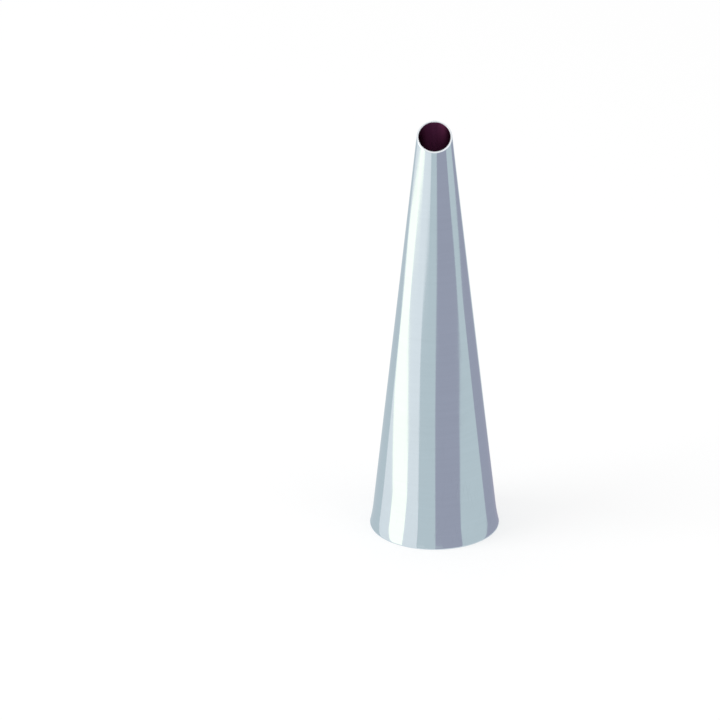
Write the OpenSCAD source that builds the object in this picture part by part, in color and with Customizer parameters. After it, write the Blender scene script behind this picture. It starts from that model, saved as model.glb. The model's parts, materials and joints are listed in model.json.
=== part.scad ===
// Long filling nozzle for a pastry bag: a steel cone with a slanted tip.
// One fan-shaped sheet is rolled into a cone and butt-welded down the back.
// Millimetres. The origin is the centre of the foot's resting edge, and +Z
// runs up the axis to the tip. The slanted cut faces -Y, the weld +Y.

/* [Shell] */
// Outside diameter of the foot, over its flare
foot_d = 30; // [24:0.5:40]
// Outside diameter of the tip, at the middle of its slanted cut
tip_d = 8; // [7:0.1:12]
// Height from the resting edge to the middle of the slanted cut
cut_mid_h = 96.4; // [60:0.1:130]
// Thickness of the steel sheet
sheet_t = 0.4; // [0.3:0.05:0.6]
// Slope of the slanted cut, from square across the axis
cut_deg = 30; // [5:1:45]

/* [Foot] */
// Height of the band that flares out at the foot
flare_h = 4.6; // [2:0.1:8]
// How far the flare stands out from the line of the cone
flare_out = 0.3; // [0.05:0.05:0.8]
// Deburring on both corners of the resting edge
edge_break = 0.08; // [0.02:0.01:0.1]

/* [Seam] */
// Width of the weld bead, and of the gap that it fills
bead_w = 1.2; // [0.6:0.1:2]
// How far the bead's crown stands over the sheet outside
crown_h = 0.08; // [0.02:0.01:0.15]
// How far the bead's root stands over the sheet inside
root_h = 0.06; // [0.02:0.01:0.15]

/* [Hidden] */

// Facets of a full turn, and steps in the curve of the flare
turn_fn = 128;
flare_steps = 10;

// Radii of the foot and of the tip, and the run of the straight cone
foot_r = foot_d / 2;
tip_r = tip_d / 2;
cone_run = cut_mid_h - edge_break;
// Radius lost by the cone for each millimetre of height
taper = (foot_r - flare_out - tip_r) / cone_run;
// The sheet's thickness as a level cut across the cone shows it
wall_x = sheet_t / cos(atan(taper));
// Overrun of the cuts past what they cut
overrun = sheet_t;
// Height that the uncut cone is drawn to, above the cut's highest point
blank_h = cut_mid_h + (tip_r + overrun) * tan(cut_deg) + overrun;

// Share of the flare that is left at height z: all at the foot, none on the cone
function flare_share(z) = max(0, 1 - (z - edge_break) / (flare_h - edge_break));

// Outer radius of the sheet, and its inner radius, at height z
function outer_r(z) = foot_r - flare_out - taper * (z - edge_break)
    + flare_out * pow(flare_share(z), 2);
function inner_r(z) = outer_r(z) - wall_x;

// Heights of a profile's points: the flare's curve, then one straight run
profile_z = concat(
    [for (i = [0 : flare_steps]) edge_break + (flare_h - edge_break) * i / flare_steps],
    [blank_h]
);

// Half profile of a wall that stands proud of the sheet on both faces by the
// given heights, which fade to nothing down the flare
function wall_profile(proud_out, proud_in) = concat(
    [[foot_r - edge_break, 0]],
    [for (z = profile_z) [outer_r(z) + proud_out * (1 - flare_share(z)), z]],
    [for (i = [len(profile_z) - 1 : -1 : 0])
        let (z = profile_z[i])
        [inner_r(z) - proud_in * (1 - flare_share(z)), z]],
    [[foot_r - wall_x + edge_break, 0]]
);

// A full turn of such a wall, not yet cut at the tip
module wall_blank(proud_out, proud_in) {
    rotate_extrude($fn = turn_fn)
        polygon(wall_profile(proud_out, proud_in));
}

// Everything above the slanted cut, which rises from front to back
module above_cut() {
    cutter = foot_d + blank_h;
    translate([0, 0, cut_mid_h])
        rotate([cut_deg, 0, 0])
            translate([-cutter / 2, -cutter / 2, 0])
                cube(cutter);
}

// The straight gap down the back, between the two edges of the rolled sheet
module seam_gap() {
    translate([-bead_w / 2, 0, -overrun])
        cube([bead_w, foot_r + overrun, blank_h + 2 * overrun]);
}

// The rolled sheet, open along its seam
module nozzle_shell() {
    color([0.68, 0.76, 0.79])
        difference() {
            wall_blank(0, 0);
            above_cut();
            seam_gap();
        }
}

// The weld that joins the sheet's edges: level with them at the foot, where
// it is dressed flush, and slightly proud on both faces above the flare
module seam_weld() {
    color([0.57, 0.60, 0.68])
        difference() {
            intersection() {
                wall_blank(crown_h, root_h);
                seam_gap();
            }
            above_cut();
        }
}

nozzle_shell();
seam_weld();
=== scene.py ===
import json
import math

import bpy
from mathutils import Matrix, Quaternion, Vector


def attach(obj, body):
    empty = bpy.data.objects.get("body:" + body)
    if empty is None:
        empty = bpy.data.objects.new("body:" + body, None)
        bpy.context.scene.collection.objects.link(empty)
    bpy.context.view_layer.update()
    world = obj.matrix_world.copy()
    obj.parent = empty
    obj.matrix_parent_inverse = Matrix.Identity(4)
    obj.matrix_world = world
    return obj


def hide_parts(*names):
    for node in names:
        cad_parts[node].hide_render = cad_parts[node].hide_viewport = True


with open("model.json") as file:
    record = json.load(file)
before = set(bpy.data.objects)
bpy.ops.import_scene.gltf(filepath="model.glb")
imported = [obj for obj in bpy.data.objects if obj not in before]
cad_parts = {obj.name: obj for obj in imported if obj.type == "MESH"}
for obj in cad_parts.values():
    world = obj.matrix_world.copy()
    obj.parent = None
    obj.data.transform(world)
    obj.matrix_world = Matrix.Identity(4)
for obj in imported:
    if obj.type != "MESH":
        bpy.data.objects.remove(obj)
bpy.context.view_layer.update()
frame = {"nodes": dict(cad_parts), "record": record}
scene = bpy.context.scene
mm = 0.001  # sizes in the dictionaries are millimetres, and the scene is in metres
print("frame loaded, nodes:", ", ".join(sorted(frame["nodes"])))


# A node socket inside an expression: each operator adds one Math node
class Wire:
    def __init__(self, graph, socket):
        self.graph = graph
        self.socket = socket

    def __add__(self, other):
        return self.graph.maths("ADD", self, other)

    def __radd__(self, other):
        return self.graph.maths("ADD", other, self)

    def __sub__(self, other):
        return self.graph.maths("SUBTRACT", self, other)

    def __rsub__(self, other):
        return self.graph.maths("SUBTRACT", other, self)

    def __mul__(self, other):
        return self.graph.maths("MULTIPLY", self, other)

    def __rmul__(self, other):
        return self.graph.maths("MULTIPLY", other, self)

    def __truediv__(self, other):
        return self.graph.maths("DIVIDE", self, other)

    def __rtruediv__(self, other):
        return self.graph.maths("DIVIDE", other, self)

    def __pow__(self, other):
        return self.graph.maths("POWER", self, other)

    def __gt__(self, other):
        return self.graph.maths("GREATER_THAN", self, other)

    def __lt__(self, other):
        return self.graph.maths("LESS_THAN", self, other)

    def __abs__(self):
        return self.graph.maths("ABSOLUTE", self)

    def sine(self):
        return self.graph.maths("SINE", self)

    def cosine(self):
        return self.graph.maths("COSINE", self)

    def clamped(self):
        return self.graph.node("ShaderNodeClamp", None, {"Value": self, "Min": 0.0, "Max": 1.0})

    # 0 below low, 1 above high and a smooth rise between, or the reverse when low is above high
    def rise(self, low, high):
        ends = {"Value": self, "From Min": low, "From Max": high}
        return self.graph.node("ShaderNodeMapRange", {"interpolation_type": "SMOOTHSTEP"}, ends)

    def out(self, name):
        return Wire(self.graph, pick(self.socket.node.outputs, name))


def pick(sockets, name):
    if isinstance(name, int):
        return sockets[name]
    for socket in sockets:
        if socket.identifier == name:
            return socket
    return sockets[name]


# A node tree while it is being built, for a finish, the studio or a piece
class Graph:
    def __init__(self, tree):
        self.tree = tree

    # Any node: its settings are made first, then its sockets get values or wires
    def node(self, kind, settings=None, sockets=None, out=0):
        made = self.tree.nodes.new(kind)
        for name, value in (settings or {}).items():
            if name == "stops":
                self.fillRamp(made.color_ramp, value)
            else:
                setattr(made, name, value)
        for name, value in (sockets or {}).items():
            socket = pick(made.inputs, name)
            if isinstance(value, Wire):
                self.tree.links.new(value.socket, socket)
            else:
                socket.default_value = value
        return Wire(self, pick(made.outputs, out)) if len(made.outputs) else None

    def fillRamp(self, ramp, stops):
        while len(ramp.elements) < len(stops):
            ramp.elements.new(1.0)
        for element, (place, tone) in zip(ramp.elements, stops):
            element.position = place
            element.color = colour(*tone)

    def maths(self, operation, *values):
        return self.node("ShaderNodeMath", {"operation": operation}, dict(enumerate(values)))

    def vector(self, x, y, z):
        return self.node("ShaderNodeCombineXYZ", None, {"X": x, "Y": y, "Z": z})

    def blend(self, share, first, second, way="MIX"):
        settings = {"data_type": "RGBA", "blend_type": way}
        sockets = {"Factor_Float": share, "A_Color": first, "B_Color": second}
        return self.node("ShaderNodeMix", settings, sockets, "Result_Color")

    def noise(self, place, detail=1.0, roughness=0.5):
        sockets = {"Vector": place, "Scale": 1.0, "Detail": detail, "Roughness": roughness}
        return self.node("ShaderNodeTexNoise", None, sockets, "Fac")


def colour(red, green, blue):
    return (red, green, blue, 1.0)


# An emptied node tree for a material or the world
def startNodes(owner):
    owner.use_nodes = True
    owner.node_tree.nodes.clear()
    return Graph(owner.node_tree)


# An empty geometry tree with one named input for each size
def startTree(name, sizes):
    kinds = {int: "NodeSocketInt", float: "NodeSocketFloat"}
    tree = bpy.data.node_groups.new(name, "GeometryNodeTree")
    for label, value in sizes.items():
        kind = kinds.get(type(value), "NodeSocketMaterial")
        tree.interface.new_socket(name=label, in_out="INPUT", socket_type=kind)
    tree.interface.new_socket(name="Geometry", in_out="OUTPUT", socket_type="NodeSocketGeometry")
    graph = Graph(tree)
    entry = graph.node("NodeGroupInput")
    return graph, {label: entry.out(label) for label in sizes}


def pickByName(items, name):
    return next(item for item in items if item.name == name)


# Runs a geometry tree once and keeps its result as a plain mesh
def makePiece(name, graph, sizes):
    piece = bpy.data.objects.new(name, bpy.data.meshes.new(name))
    scene.collection.objects.link(piece)
    modifier = piece.modifiers.new("build", "NODES")
    modifier.node_group = graph.tree
    for label, value in sizes.items():
        modifier[pickByName(graph.tree.interface.items_tree, label).identifier] = value
    evaluated = piece.evaluated_get(bpy.context.evaluated_depsgraph_get())
    mesh = bpy.data.meshes.new_from_object(evaluated)
    piece.modifiers.remove(modifier)
    piece.data = mesh
    mesh.name = name
    print(name, "made with", len(mesh.polygons), "faces")
    return piece


# The camera stands where the picture's upright view was taken from
cameraSetup = {
    "pivot": 50.4,
    "distance": 1200.0,
    "elevation": 23.872,
    "aimRight": -17.017,
    "aimUp": -8.462,
    "roll": -0.365,
    "lens": 262.66,
    "sensor": 36.0,
    "clipNear": 50.0,
    "clipFar": 20000.0,
}


def makeCamera(setup):
    data = bpy.data.cameras.new("camera")
    data.lens = setup["lens"]
    data.sensor_width = setup["sensor"]
    data.clip_start = setup["clipNear"] * mm
    data.clip_end = setup["clipFar"] * mm
    made = bpy.data.objects.new("camera", data)
    scene.collection.objects.link(made)
    e = math.radians(setup["elevation"])
    pivot = Vector((0, 0, setup["pivot"] * mm))
    eye = pivot + Vector((0, -math.cos(e), math.sin(e))) * (setup["distance"] * mm)
    up = Vector((0, math.sin(e), math.cos(e)))
    aim = pivot + Vector((setup["aimRight"] * mm, 0, 0)) + up * (setup["aimUp"] * mm)
    made.location = eye
    made.rotation_mode = "QUATERNION"
    roll = Quaternion((0, 0, 1), math.radians(setup["roll"]))
    made.rotation_quaternion = (aim - eye).to_track_quat("-Z", "Y") @ roll
    scene.camera = made
    return eye / mm


cameraEye = makeCamera(cameraSetup)  # in millimetres
scene.view_settings.view_transform = "Standard"
print("camera set")


# What the finishes of the shell and the weld share
steel = {
    "anisotropy": 0.85,
    "anisotropyTurn": 0.25,  # a quarter, because the fine lines run round the cone
    "grazingTint": (0.90, 0.91, 0.94),
    # the rims' colour, brighter than the polish: partly bare cut steel, partly a painted highlight
    "cutEdge": (0.80, 0.83, 0.86),
    "meanRadius": 12,
    "insideDepths": (0.6, 0.9),  # shares of the wall between which the inside's finish begins
    "edgeTurns": (0.25, 0.8),  # shares of a rounded edge between which it gets bright, partly as a painted highlight
}
# Inside, both are dark purple near the tip, a painted shade of the deep narrow bore, and satin steel
# towards the mouth
insideFinish = {
    # the tip's dark purple is painted shade, darkest where the inside is narrowest
    "tip": (0.130, 0.026, 0.080),
    "mouth": (0.46, 0.46, 0.49),
    "toneHeights": (46.0, 4.0),  # from the tip's painted shade down to the mouth's tone
    "streak": (0.060, 0.045, 0.060),
    "streakShare": 0.22,
    "streaks": {"around": 1.4, "along": 0.05, "detail": 2.0, "roughness": 0.6, "rise": (0.35, 0.75)},
    "roughness": 0.46,
}


# A metal finish while it is being built, with the wires that it works from, in millimetres
class Finish:
    def __init__(self, name):
        self.material = bpy.data.materials.new(name)
        self.graph = startNodes(self.material)
        place = self.graph.node("ShaderNodeTexCoord", out="Object")
        split = self.graph.node("ShaderNodeSeparateXYZ", None, {"Vector": place})
        self.x = split.out("X") * (1 / mm)
        self.y = split.out("Y") * (1 / mm)
        self.z = split.out("Z") * (1 / mm)
        # the way round the cone, which starts and ends at the weld
        self.around = self.graph.maths("ARCTAN2", self.x, self.y * -1) * steel["meanRadius"]
        self.inside = self.attribute("side").rise(*steel["insideDepths"])
        # the rims' mask, which brightens their colour partly as a painted highlight
        self.cutEdge = (self.attribute("tipEdge") + self.attribute("footEdge")).rise(*steel["edgeTurns"])

    def attribute(self, name):
        return self.graph.node("ShaderNodeAttribute", {"attribute_name": name}, out="Fac")

    # Noise with its own waves per millimetre across the axis and along it
    def grain(self, look):
        across = look["across"]
        place = self.graph.vector(self.x * across, self.y * across, self.z * look["along"])
        return self.graph.noise(place, look["detail"], look["roughness"])

    # Noise in lines that run up the wall and lean by a slant
    def lines(self, look, slant=0.0, lane=0.0):
        around = self.around * look["around"] + self.z * slant
        place = self.graph.vector(around, self.z * look["along"], lane)
        return self.graph.noise(place, look["detail"], look["roughness"]).rise(*look["rise"])

    # The outside's colour with the inside's, painted shade near the tip, and the bright cut edges, partly
    # a painted highlight, laid over it
    def allFaces(self, outer):
        tone = self.graph.blend(
            self.z.rise(*insideFinish["toneHeights"]),
            colour(*insideFinish["tip"]),
            colour(*insideFinish["mouth"]),
        )
        streak = self.lines(insideFinish["streaks"]) * insideFinish["streakShare"]
        inner = self.graph.blend(streak, tone, colour(*insideFinish["streak"]))
        base = self.graph.blend(self.inside, outer, inner)
        return self.graph.blend(self.cutEdge, base, colour(*steel["cutEdge"]))

    # Bare steel, brushed round the cone, with what each mark adds to its roughness and its height
    def end(self, look, base, marks):
        rough = addMarks(look["roughness"], look["roughnessMarks"], marks)
        rough = rough + self.inside * (insideFinish["roughness"] - look["roughness"])
        height = addMarks(0, look["heightMarks"], marks)
        bump = self.graph.node("ShaderNodeBump", None, {"Strength": 1.0, "Distance": mm, "Height": height})
        shader = self.graph.node("ShaderNodeBsdfPrincipled", None, {
            "Base Color": base,
            "Roughness": rough,
            "Metallic": 1.0,
            "Normal": bump,
            "Anisotropic": steel["anisotropy"],
            "Anisotropic Rotation": steel["anisotropyTurn"],
            "Specular Tint": colour(*steel["grazingTint"]),
        })
        self.graph.node("ShaderNodeOutputMaterial", None, {"Surface": shader})
        return self.material


def addMarks(plain, weights, marks):
    total = plain
    for name, weight in weights.items():
        total = total + marks[name] * weight
    return total


# Steel finish of the shell: polished outside, dull inside with painted shade towards the tip, bright on
# its cut edges, partly a painted highlight
shellFinish = {
    "polished": (0.624, 0.706, 0.759),
    # fine lines that the polishing belt leaves round the cone
    "fineLines": {"across": 0.16, "along": 6.5, "detail": 3.0, "roughness": 0.65},
    "broadLines": {"across": 0.07, "along": 1.1, "detail": 2.0, "roughness": 0.5},
    # slow waves in the rolled sheet, and cloudy handling marks
    "waves": {"across": 0.060, "along": 0.028, "detail": 1.0, "roughness": 0.4},
    "clouds": {"across": 0.11, "along": 0.07, "detail": 3.0, "roughness": 0.5},
    "smudgeRise": (0.50, 0.72),
    # hair scratches in two slants on the lower cone, where the bag and the coupler rub
    "hairs": {"around": 4.0, "along": 0.11, "detail": 1.0, "roughness": 0.5, "rise": (0.66, 0.74)},
    "hairSlants": ((0.35, 2.0), (-0.90, 9.0)),  # each slant and its lane in the noise
    "hairHeights": (38.0, 10.0),
    "hairPatches": (0.34, 0.60),
    # soft nicks on the resting edge
    "nicks": {"across": 3.2, "along": 3.2, "detail": 1.0, "roughness": 0.5},
    "nickRise": (0.62, 0.76),
    "nickHeights": (1.2, 0.1),
    "nickShine": 0.4,
    # heat colours along the weld, from beside it outwards
    "heatStops": (
        (0.0, (0.40, 0.36, 0.38)),
        (0.22, (0.56, 0.47, 0.36)),
        (0.40, (0.66, 0.60, 0.50)),
        (0.60, (0.50, 0.52, 0.66)),
        (0.80, (0.56, 0.66, 0.78)),
    ),
    "heatReach": 4.2,
    "heatFull": 0.6,
    "heatWander": 1.6,
    "heatShare": 0.55,
    "frontAway": 40,  # added on the front half, so that it is out of the heat's reach
    # the plain outside, and what each mark adds to it
    "brightness": 0.960,
    "brightnessMarks": {"broadLines": 0.05, "fineLines": 0.03, "smudge": -0.012, "scratch": -0.06},
    "roughness": 0.06,
    "roughnessMarks": {
        "fineLines": 0.04,
        "smudge": 0.03,
        "scratch": 0.10,
        "cutEdge": 0.10,
        "nick": 0.08,
        "heat": 0.10,
    },
    "heightMarks": {
        "waves": 0.09,
        "fineLines": 0.0010,
        "broadLines": 0.0015,
        "scratch": -0.0015,
        "nick": -0.005,
    },
}


def finishShell(look):
    finish = Finish("polishedSteel")
    graph = finish.graph
    clouds = finish.grain(look["clouds"])
    hairs = 0
    for slant, lane in look["hairSlants"]:
        hairs = hairs + finish.lines(look["hairs"], slant, lane)
    nicks = finish.grain(look["nicks"]).rise(*look["nickRise"])
    fromSeam = abs(finish.x) + (finish.y < 0) * look["frontAway"] + (clouds - 0.5) * look["heatWander"]
    marks = {
        "fineLines": finish.grain(look["fineLines"]),
        "broadLines": finish.grain(look["broadLines"]),
        "waves": finish.grain(look["waves"]),
        "smudge": clouds.rise(*look["smudgeRise"]),
        "scratch": hairs * finish.z.rise(*look["hairHeights"]) * clouds.rise(*look["hairPatches"]),
        "nick": finish.z.rise(*look["nickHeights"]) * nicks,
        "heat": fromSeam.rise(look["heatReach"], look["heatFull"]) * look["heatShare"],
        "cutEdge": finish.cutEdge,
    }
    stops = look["heatStops"] + ((1.0, look["polished"]),)
    fade = {"Fac": fromSeam / look["heatReach"]}
    heatColour = graph.node("ShaderNodeValToRGB", {"stops": stops}, fade, "Color")
    outer = graph.blend(marks["heat"], colour(*look["polished"]), heatColour)
    tone = addMarks(look["brightness"], look["brightnessMarks"], marks)
    outer = graph.blend(1.0, outer, graph.vector(tone, tone, tone), "MULTIPLY")
    base = finish.allFaces(outer)
    base = graph.blend(marks["nick"] * look["nickShine"], base, colour(*steel["cutEdge"]))
    return finish.end(look, base, marks)


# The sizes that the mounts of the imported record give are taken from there
mounts = {mount["name"]: mount for mount in frame["record"]["mounts"]}
mouth = mounts["mouth"]["dims"]
tipOutlet = mounts["tip_outlet"]["dims"]
sheetSize = 0.4
facetRoom = 0.011  # keeps the round wall inside the facets of the solids
# The rolled sheet. Its rings run up from the foot: a rounded edge, the flare, the cone, a rounded edge
shell = {
    "Foot Radius": mouth["r_mm"] + sheetSize - facetRoom,
    "Tip Radius": tipOutlet["r_mm"] + sheetSize,
    "Cut Height": mounts["tip_outlet"]["pos_m"][2] / mm,
    "Cut Angle": math.radians(30),
    "Sheet": sheetSize,
    "Flare Height": mouth["length_mm"],
    "Flare Out": 0.3,
    "Edge Round": 0.08,
    "Seam Gap": 1.12,
    "Seam Hold": 0.05,
    "Layers": 4,
    "Turn Steps": 256,
    "Round Rings": 4,
    "Flare Rings": 12,
    "Cone Rings": 26,
}
coneSizes = ("Foot Radius", "Tip Radius", "Cut Height", "Cut Angle", "Sheet", "Flare Height",
             "Flare Out", "Edge Round", "Round Rings", "Flare Rings", "Cone Rings")
nearSide = 0.0005  # a face whose middle is within this share of a block's side lies on that side


# How much of the two rounded edges a ring has behind it: the foot's from 0 to 1, then the tip's
def edgeShares(size, ring):
    coneEnd = size["Round Rings"] + size["Flare Rings"] + size["Cone Rings"]
    return (ring / size["Round Rings"]).clamped(), ((ring - coneEnd) / size["Round Rings"]).clamped()


# Height, radius and edge shares of a point of the wall. ring counts up from the foot, depth runs
# from 0 outside to 1 inside, back is the sine of its azimuth and proud stands over the sheet
def wallPoint(graph, size, ring, depth, back, proud=0.0, evenRings=False):
    edge = size["Edge Round"]
    footShare, tipShare = edgeShares(size, ring)
    taper = (size["Foot Radius"] - size["Flare Out"] - size["Tip Radius"]) / (size["Cut Height"] - edge)
    wall = size["Sheet"] * (taper * taper + 1) ** 0.5
    slope = graph.maths("TANGENT", size["Cut Angle"]) * back
    lineStart = size["Foot Radius"] - size["Flare Out"] + taper * edge
    footTurn = footShare * (math.pi / 2)
    tipTurn = tipShare * (math.pi / 2)
    inset = edge * (2 - footTurn.sine() - tipTurn.cosine())
    atCut = lineStart + proud - inset + depth * (inset * 2 - wall)
    top = (size["Cut Height"] + slope * atCut) / (slope * taper + 1)
    coneStart = size["Round Rings"] + size["Flare Rings"]
    flareRun = ((ring - size["Round Rings"]) / size["Flare Rings"]).clamped()
    coneRun = ((ring - coneStart) / size["Cone Rings"]).clamped()
    if not evenRings:
        coneRun = 0.5 - (coneRun * math.pi).cosine() * 0.5
    height = (edge * (1 - footTurn.cosine()) + flareRun * (size["Flare Height"] - edge)
              + coneRun * (top - edge - size["Flare Height"]) + edge * tipTurn.sine())
    flareLeft = (1 - (height - edge) / (size["Flare Height"] - edge)).clamped()
    radius = lineStart - taper * height + size["Flare Out"] * flareLeft * flareLeft
    radius = radius - inset + depth * (inset * 2 - wall)
    return {
        "height": height,
        "radius": radius,
        "flareLeft": flareLeft,
        "tipEdge": tipShare,
        "footEdge": 1 - footShare,
    }


# A block of points to shape, with each point's shares of the way across the block and through it,
# from 0 to 1, and the number of its ring, counted up from 0
def makeBlock(graph, steps, layers, rings):
    block = graph.node("GeometryNodeMeshCube", None, {
        "Size": (1.0, 1.0, 1.0),
        "Vertices X": steps + 1,
        "Vertices Y": layers,
        "Vertices Z": rings + 1,
    })
    place = graph.node("GeometryNodeInputPosition")
    split = graph.node("ShaderNodeSeparateXYZ", None, {"Vector": place})
    ring = graph.maths("ROUND", (split.out("Z") + 0.5) * rings)
    return block, split.out("X") + 0.5, split.out("Y") + 0.5, ring


# Stores what the finish reads, moves the block's points and gives it its material. Its two side
# faces, where share is 0 or 1, stay flat
def finishTree(graph, geometry, share, attributes, position, material):
    for name, value in attributes.items():
        settings = {"data_type": "FLOAT", "domain": "POINT"}
        sockets = {"Geometry": geometry, "Name": name, "Value": value}
        geometry = graph.node("GeometryNodeStoreNamedAttribute", settings, sockets)
    smooth = (share > nearSide) * (share < 1 - nearSide)
    shading = {"Geometry": geometry, "Shade Smooth": smooth}
    geometry = graph.node("GeometryNodeSetShadeSmooth", None, shading)
    geometry = graph.node("GeometryNodeSetPosition", None, {"Geometry": geometry, "Position": position})
    real = graph.node("GeometryNodeRealizeInstances", None, {"Geometry": geometry})
    done = graph.node("GeometryNodeSetMaterial", None, {"Geometry": real, "Material": material})
    graph.node("NodeGroupOutput", None, {"Geometry": done})


def makeShell():
    sizes = dict(shell, Finish=finishShell(shellFinish))
    graph, size = startTree("rolledShell", sizes)
    rings = size["Round Rings"] * 2 + size["Flare Rings"] + size["Cone Rings"]
    block, around, depth, ring = makeBlock(graph, size["Turn Steps"], size["Layers"], rings)
    column = graph.maths("ROUND", around * size["Turn Steps"])
    atSeam = wallPoint(graph, size, ring, depth, back=1.0)
    seamTurn = graph.maths("ARCSINE", size["Seam Gap"] / 2 / atSeam["radius"])
    # a narrow column at each edge of the seam keeps the shading even up to the weld
    hold = size["Seam Hold"] / atSeam["radius"]
    held = hold * ((column > 0.5) + (column > size["Turn Steps"] - 0.5))
    run = ((column - 1) / (size["Turn Steps"] - 2)).clamped()
    turn = seamTurn + math.pi / 2 + held + run * (2 * math.pi - seamTurn * 2 - hold * 2)
    point = wallPoint(graph, size, ring, depth, back=turn.sine())
    attributes = {"side": depth, "tipEdge": point["tipEdge"], "footEdge": point["footEdge"]}
    position = graph.vector(
        point["radius"] * turn.cosine() * mm,
        point["radius"] * turn.sine() * mm,
        point["height"] * mm,
    )
    finishTree(graph, block, around, attributes, position, size["Finish"])
    return makePiece("nozzleShell", graph, sizes)


nozzleShell = makeShell()


# Steel finish of the weld: straw-tinted, darker between its ripples, ground bright at the foot
weldFinish = {
    "steel": (0.52, 0.58, 0.66),
    "strawTint": (0.60, 0.56, 0.51),
    "strawRise": (0.3, 0.7),
    "strawShare": 0.6,
    "hollow": (0.34, 0.33, 0.39),
    "hollowRise": (0.50, 0.02),
    "hollowShare": 0.7,
    # where the grinder has been over it: all of the foot, and a few passes further up
    "dressed": shellFinish["polished"],
    "dressedHeights": (6.0, 3.6),
    "passRise": (0.50, 0.66),
    "passShare": 0.6,
    "dressedShare": 0.75,
    "grain": {"across": 3.0, "along": 9.0, "detail": 3.0, "roughness": 0.6},
    "drift": {"across": 0.0, "along": 0.16, "detail": 2.0, "roughness": 0.5},
    # the plain outside, and what each mark adds to it
    "roughness": 0.26,
    "roughnessMarks": {"grain": 0.10, "sunk": 0.12, "cutEdge": 0.06},
    "heightMarks": {"grain": 0.004},
}


def finishWeld(look):
    finish = Finish("seamSteel")
    graph = finish.graph
    drift = finish.grain(look["drift"])
    passes = drift.rise(*look["passRise"]) * look["passShare"]
    dressed = (finish.z.rise(*look["dressedHeights"]) + passes).clamped()
    sunk = finish.attribute("ripple").rise(*look["hollowRise"]) * (1 - dressed) * look["hollowShare"]
    straw = drift.rise(*look["strawRise"]) * look["strawShare"]
    base = graph.blend(straw, colour(*look["steel"]), colour(*look["strawTint"]))
    base = graph.blend(sunk, base, colour(*look["hollow"]))
    base = graph.blend(dressed * look["dressedShare"], base, colour(*look["dressed"]))
    marks = {"grain": finish.grain(look["grain"]), "sunk": sunk, "cutEdge": finish.cutEdge}
    return finish.end(look, finish.allFaces(base), marks)


# The weld bead down the back, rippled by the torch and dressed flush at the foot
weld = {
    "Bead Width": 1.32,
    "End Width": 1.13,
    "Crown": 0.074,
    "Root": 0.055,
    "Flush": 0.008,
    "Tuck": 0.02,
    "Ripple Pitch": 0.82,
    "Ripple Depth": 0.03,
    "Inner Ripple": 0.5,
    "Ripple Bow": 0.55,
    "Ripple Skew": 0.55,
    "Ripple Wander": 1.5,
    "Wander Pace": 0.35,
    "Ripple Seed": 4.0,
    "Layers": 3,
    "Across Steps": 12,
    "Cone Rings": 960,
}


def makeWeld():
    sizes = dict({label: shell[label] for label in coneSizes}, **weld)
    sizes["Finish"] = finishWeld(weldFinish)
    graph, size = startTree("weldBead", sizes)
    rings = size["Round Rings"] * 2 + size["Flare Rings"] + size["Cone Rings"]
    block, share, depth, ring = makeBlock(graph, size["Across Steps"], size["Layers"], rings)
    across = share * 2 - 1
    # at both ends the bead only just fills the gap
    footShare, tipShare = edgeShares(size, ring)
    atEnd = tipShare + 1 - footShare
    width = size["Bead Width"] + atEnd * (size["End Width"] - size["Bead Width"])
    lateral = across * width / 2
    # how far the bottoms of its ripples stand over the sheet, on both faces
    outward = 1 - depth * 2
    crest = (1 - across * across) * abs(outward)
    standOut = size["Crown"] - size["Ripple Depth"] - size["Flush"]
    standIn = size["Root"] - size["Ripple Depth"] * size["Inner Ripple"] - size["Flush"]
    stand = crest * ((1 - depth) * standOut - depth * standIn)
    straight = wallPoint(graph, size, ring, depth, back=1.0, evenRings=True)
    back = (1 - (lateral / straight["radius"]) ** 2) ** 0.5
    point = wallPoint(graph, size, ring, depth, back, stand, evenRings=True)
    # ripples: waves that bow back at the sides, steeper on one face, in steps that wander a little
    lane = graph.vector(size["Ripple Seed"], 0.0, point["height"] * size["Wander Pace"])
    wander = graph.noise(lane) * size["Ripple Wander"]
    phase = point["height"] / size["Ripple Pitch"] - across * across * size["Ripple Bow"] + wander
    swing = phase * (2 * math.pi)
    ripple = (swing + swing.sine() * size["Ripple Skew"]).cosine() * 0.5 + 0.5
    upFlare = 1 - point["flareLeft"]
    fade = upFlare * (1 - point["tipEdge"])
    lift = crest * fade * ripple * size["Ripple Depth"] * (1 - depth * (size["Inner Ripple"] + 1))
    rim = abs(across) > 1 - 1 / size["Across Steps"]  # the outermost columns dive under the sheet
    overSheet = outward * ((1 - rim) * size["Flush"] - rim * size["Tuck"]) * (1 - atEnd)
    radius = point["radius"] + stand * upFlare + lift + overSheet
    deep = (radius * radius - lateral * lateral) ** 0.5
    attributes = {
        "side": depth,
        "tipEdge": point["tipEdge"],
        "footEdge": point["footEdge"],
        "ripple": 1 - (1 - ripple) * fade,
    }
    position = graph.vector(lateral * (-mm), deep * mm, point["height"] * mm)
    finishTree(graph, block, share, attributes, position, size["Finish"])
    return makePiece("seamWeld", graph, sizes)


seamWeld = makeWeld()

pieces = (
    (nozzleShell, "nozzle_shell", "polished_steel"),
    (seamWeld, "seam_weld", "seam_steel"),
)
for piece, node, slot in pieces:
    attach(piece, "root")
    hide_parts(node)
print("pieces ride on the root body")

# Studio: a pale floor, soft light all round, and cards that only the polished steel shows
studio = {
    "airLevel": 0.80,  # the light that the world gives, while the camera and reflections see white
    "floorHalf": 2000.0,
    "floorColour": (0.50, 0.50, 0.50),
    "floorGlow": 0.53,
    "footprint": 14.6,  # radius of the floor under the nozzle
    # under the nozzle: a dark purple glow for the camera, painted shade, and a dim white glow for
    # reflections, painted light
    "boreColour": (0.028, 0.006, 0.017),
    "boreGlow": 0.40,
}


def seenWhite(graph):
    path = graph.node("ShaderNodeLightPath", out="Is Camera Ray")
    return (path + path.out("Is Glossy Ray") + path.out("Is Transmission Ray")).clamped()


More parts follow.
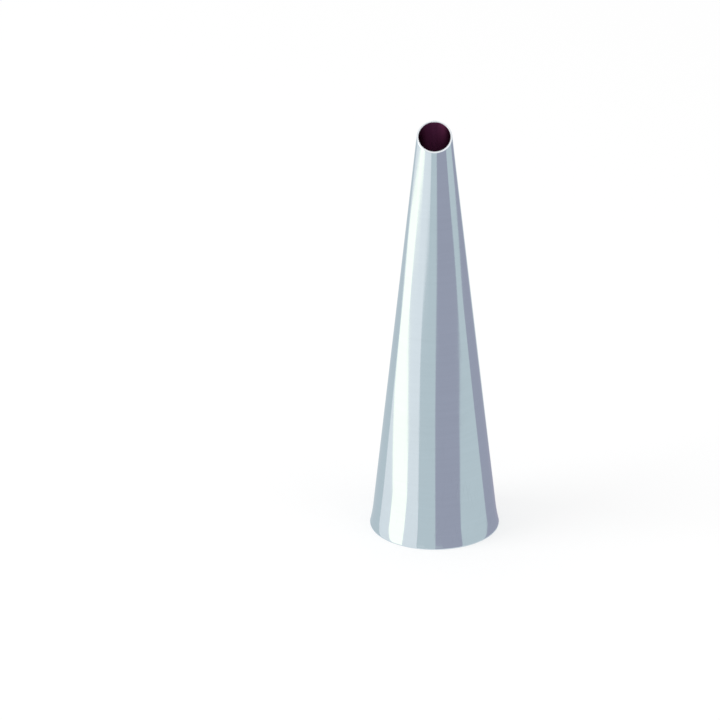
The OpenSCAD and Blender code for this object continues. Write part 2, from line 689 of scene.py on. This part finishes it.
def makeAir():
    world = bpy.data.worlds.new("studioAir")
    scene.world = world
    graph = startNodes(world)
    world.cycles.sampling_method = "NONE"
    strength = studio["airLevel"] + seenWhite(graph) * (1 - studio["airLevel"])
    air = graph.node("ShaderNodeBackground", None, {"Color": colour(1, 1, 1), "Strength": strength})
    graph.node("ShaderNodeOutputWorld", None, {"Surface": air})


def makeMesh(name, points, faces):
    mesh = bpy.data.meshes.new(name)
    mesh.from_pydata([Vector(point) * mm for point in points], [], faces)
    mesh.update()
    made = bpy.data.objects.new(name, mesh)
    scene.collection.objects.link(made)
    return made


def makeFloor():
    reach = studio["floorHalf"]
    corners = [(-reach, -reach, 0), (reach, -reach, 0), (reach, reach, 0), (-reach, reach, 0)]
    floor = makeMesh("floor", corners, [(0, 1, 2, 3)])
    material = bpy.data.materials.new("paleFloor")
    graph = startNodes(material)
    place = graph.node("ShaderNodeTexCoord", out="Object")
    fromAxis = graph.node("ShaderNodeVectorMath", {"operation": "LENGTH"}, {0: place}, "Value")
    underNozzle = fromAxis < studio["footprint"] * mm
    glow = seenWhite(graph) * (1 - underNozzle) * studio["floorGlow"]
    # Under the nozzle the floor glows for the camera in the dark inside's purple, a painted shade seen
    # straight down the bore; for reflections it glows dimly white, a painted light that the inside shows
    path = graph.node("ShaderNodeLightPath", out="Is Camera Ray")
    bore = underNozzle * path
    dim = underNozzle * path.out("Is Glossy Ray") * studio["boreGlow"]
    tint = graph.blend(bore, colour(1, 1, 1), colour(*studio["boreColour"]))
    paint = graph.node("ShaderNodeBsdfDiffuse", None, {"Color": colour(*studio["floorColour"])})
    light = graph.node("ShaderNodeEmission", None, {"Color": tint, "Strength": glow + bore + dim})
    both = graph.node("ShaderNodeAddShader", None, {0: paint, 1: light})
    clear = graph.node("ShaderNodeBsdfTransparent")
    below = graph.node("ShaderNodeNewGeometry", out="Backfacing")
    surface = graph.node("ShaderNodeMixShader", None, {0: below, 1: both, 2: clear})
    graph.node("ShaderNodeOutputMaterial", None, {"Surface": surface})
    floor.data.materials.append(material)


# Cards of plain grey stand round the nozzle for its polish to mirror. A card's edge is given by where
# the steel shows it: pairs of a height and an azimuth, 0 towards the camera and positive to the right
cards = {
    "clearOfFoot": 15.03,
    "lift": 0.2,
    "heights": (0, 1, 2.5, 4, 5, 8, 12, 18, 24, 30, 36, 42, 48, 54, 60, 66, 72, 78, 84, 90, 97),
    # reaches and heights of the far end, which sweeps up
    "sweep": ((480.0, 0.2), (540.0, 6.0), (580.0, 30.0), (600.0, 90.0), (600.0, 420.0)),
    "leastRun": 1.0,  # by which the far end goes on past the floor part
    "step": 2.0,  # degrees between two lines of a card
    "outline": 90,  # azimuth of the nozzle's own outline
    "edges": {
        "behindLeft": ((0, -90), (97, -90)),
        "left": ((0, -56), (4, -62), (12, -61), (54, -61), (82, -69.5), (97, -69)),
        "keyLeft": (
            (0, -41), (4, -47), (12, -46), (38, -59.5), (60, -60), (76, -65), (84, -62), (97, -46),
        ),
        "keyRight": (
            (0, -30), (12, -28), (24, -30), (42, -36), (56, -42.5), (68, -42), (80, -38), (88, -31),
            (97, -29),
        ),
        "frontLeft": ((0, -15.8), (12, -16), (50, -19.8), (56, -19), (78, -10.3), (97, -9)),
        "front": ((0, 0.7), (30, 0.7), (48, 1.8), (66, 4.4), (97, 6.8)),
        "frontRight": ((0, 25), (12, 26), (30, 30), (54, 39), (73, 41), (79, 38.5), (97, 37.5)),
        "right": ((0, 50), (4, 58), (24, 55.8), (46, 53), (60, 51.5), (84, 60), (97, 63.5)),
        "behindRight": ((0, 90), (97, 90)),
    },
    "greys": {
        "key": (1.54, 1.51, 1.30),
        "mid": (0.686, 0.746, 0.762),
        "dark": (0.460, 0.451, 0.537),
    },
    "places": (
        ("cardBackLeft", "behindLeft", "left", "mid"),
        ("cardKey", "keyLeft", "keyRight", "key"),
        ("cardFrontLeft", "frontLeft", "front", "mid"),
        ("cardFrontRight", "front", "frontRight", "dark"),
        ("cardRight", "frontRight", "right", "mid"),
        ("cardBackRight", "right", "behindRight", "dark"),
    ),
    # how far out the lines behind the nozzle lie, as shares of the line at its outline
    "behindShares": (0.9, 0.8, 0.65, 0.5, 0.35, 0.2, 0.0),
}
# A fan of one more card lies over the dark card's end, so that the steel on both sides of the weld
# shows one grey. Near the nozzle its open edge is wavy, as such edges are in the picture's end view
fan = {
    "from": 154,
    "to": 181,
    "step": 3,
    "lift": 0.4,
    "waveFrom": 16,
    "waveTo": 26,
    "farReaches": (60, 150, 300),
    "wave": 7.0,
    "waveLength": 6.5,
    "sweepInset": 4,
    "grey": "mid",
}


# The spot on the floor that the camera sees mirrored in the cone at an azimuth and height
def mirrorSpot(azimuth, height):
    taper = (shell["Foot Radius"] - shell["Flare Out"] - shell["Tip Radius"]) / shell["Cut Height"]
    radius = shell["Foot Radius"] - shell["Flare Out"] - taper * height
    out = Vector((math.sin(azimuth), -math.cos(azimuth), 0))
    normal = (out + Vector((0, 0, taper))).normalized()
    spot = out * radius + Vector((0, 0, height))
    ray = (spot - cameraEye).normalized().reflect(normal)
    spot = spot - ray * (height / ray.z)
    reach = Vector((spot.x, spot.y)).length
    if reach < cards["clearOfFoot"]:
        spot = out * cards["clearOfFoot"]
    return Vector((spot.x, spot.y)), Vector((ray.x, ray.y)).normalized()


def azimuthAt(edge, height):
    for (low, start), (high, end) in zip(edge, edge[1:]):
        if height <= high:
            return start + (end - start) * (height - low) / (high - low)


# One line of a card's mesh: out along the floor and up at the far end
def cardLine(azimuths):
    line = []
    for azimuth, height in zip(azimuths, cards["heights"]):
        spot, ray = mirrorSpot(math.radians(azimuth), height)
        line.append((spot.x, spot.y, cards["lift"]))
    for reach, height in cards["sweep"]:
        along = spot.dot(ray)
        further = math.sqrt(max(reach * reach - spot.dot(spot) + along * along, 0)) - along
        end = spot + ray * max(further, cards["leastRun"])
        line.append((end.x, end.y, height))
    return line


# The lines from the edge of the nozzle's shade to straight behind it, clear of its foot
def linesBehind(edgeLine):
    clear = cards["clearOfFoot"]
    lines = []
    for share in cards["behindShares"]:
        line = []
        for x, y, z in edgeLine:
            along = x * share
            line.append((along, max(y, math.sqrt(max(clear * clear - along * along, 0))), z))
        lines.append(line)
    return lines


def mirroredLines(first, last):
    firsts = [azimuthAt(first, height) for height in cards["heights"]]
    lasts = [azimuthAt(last, height) for height in cards["heights"]]
    steps = max(2, round(max(b - a for a, b in zip(firsts, lasts)) / cards["step"]))
    lines = []
    for index in range(steps + 1):
        share = index / steps
        lines.append(cardLine([a + (b - a) * share for a, b in zip(firsts, lasts)]))
    if firsts[0] == -cards["outline"]:
        lines = linesBehind(lines[0])[::-1] + lines
    if lasts[0] == cards["outline"]:
        lines = lines + linesBehind(lines[-1])
    return lines


def fanPoint(degrees, reach, height):
    a = math.radians(degrees)
    return (math.sin(a) * reach, -math.cos(a) * reach, height + fan["lift"])


def fanLines():
    start = fan["from"]
    end = fan["to"]
    reaches = (cards["clearOfFoot"], *range(fan["waveFrom"], fan["waveTo"] + 1), *fan["farReaches"])
    lines = []
    for degrees in range(start, end + 1, fan["step"]):
        line = []
        for reach in reaches:
            swing = math.sin((reach - cards["clearOfFoot"]) / fan["waveLength"] * 2 * math.pi)
            wave = fan["wave"] * swing * (end - degrees) / (end - start) * (reach <= fan["waveTo"])
            line.append(fanPoint(degrees + wave, reach, 0))
        for reach, height in cards["sweep"]:
            line.append(fanPoint(degrees, reach - fan["sweepInset"], height))
        lines.append(line)
    return lines


def makeCard(name, lines, tone):
    rows = len(lines[0])
    points = [point for line in lines for point in line]
    faces = []
    for index in range(len(lines) - 1):
        for row in range(rows - 1):
            start = index * rows + row
            faces.append((start, start + 1, start + rows + 1, start + rows))
    card = makeMesh(name, points, faces)
    material = bpy.data.materials.new(name)
    graph = startNodes(material)
    material.cycles.emission_sampling = "NONE"
    light = graph.node("ShaderNodeEmission", None, {"Color": colour(*tone), "Strength": 1.0})
    graph.node("ShaderNodeOutputMaterial", None, {"Surface": light})
    card.data.materials.append(material)
    card.visible_camera = False
    card.visible_diffuse = False
    card.visible_transmission = False
    card.visible_volume_scatter = False
    card.visible_shadow = False


lamps = {
    "keyLamp": {"azimuth": -75, "elevation": 42, "distance": 1100, "size": 700, "power": 2.6},
    "fillLamp": {"azimuth": 60, "elevation": 50, "distance": 1200, "size": 800, "power": 1.0},
}
lampTarget = Vector((0, 0, 50))


def makeLamp(name, look):
    lamp = bpy.data.lights.new(name, "AREA")
    lamp.shape = "DISK"
    lamp.size = look["size"] * mm
    lamp.energy = look["power"]
    made = bpy.data.objects.new(name, lamp)
    scene.collection.objects.link(made)
    a = math.radians(look["azimuth"])
    e = math.radians(look["elevation"])
    towards = Vector((math.sin(a) * math.cos(e), -math.cos(a) * math.cos(e), math.sin(e)))
    made.location = (lampTarget + towards * look["distance"]) * mm
    made.rotation_mode = "QUATERNION"
    made.rotation_quaternion = (-towards).to_track_quat("-Z", "Y")


makeAir()
makeFloor()
for name, first, last, grey in cards["places"]:
    makeCard(name, mirroredLines(cards["edges"][first], cards["edges"][last]), cards["greys"][grey])
makeCard("cardBehind", fanLines(), cards["greys"][fan["grey"]])
for name, look in lamps.items():
    makeLamp(name, look)
print("studio ready")
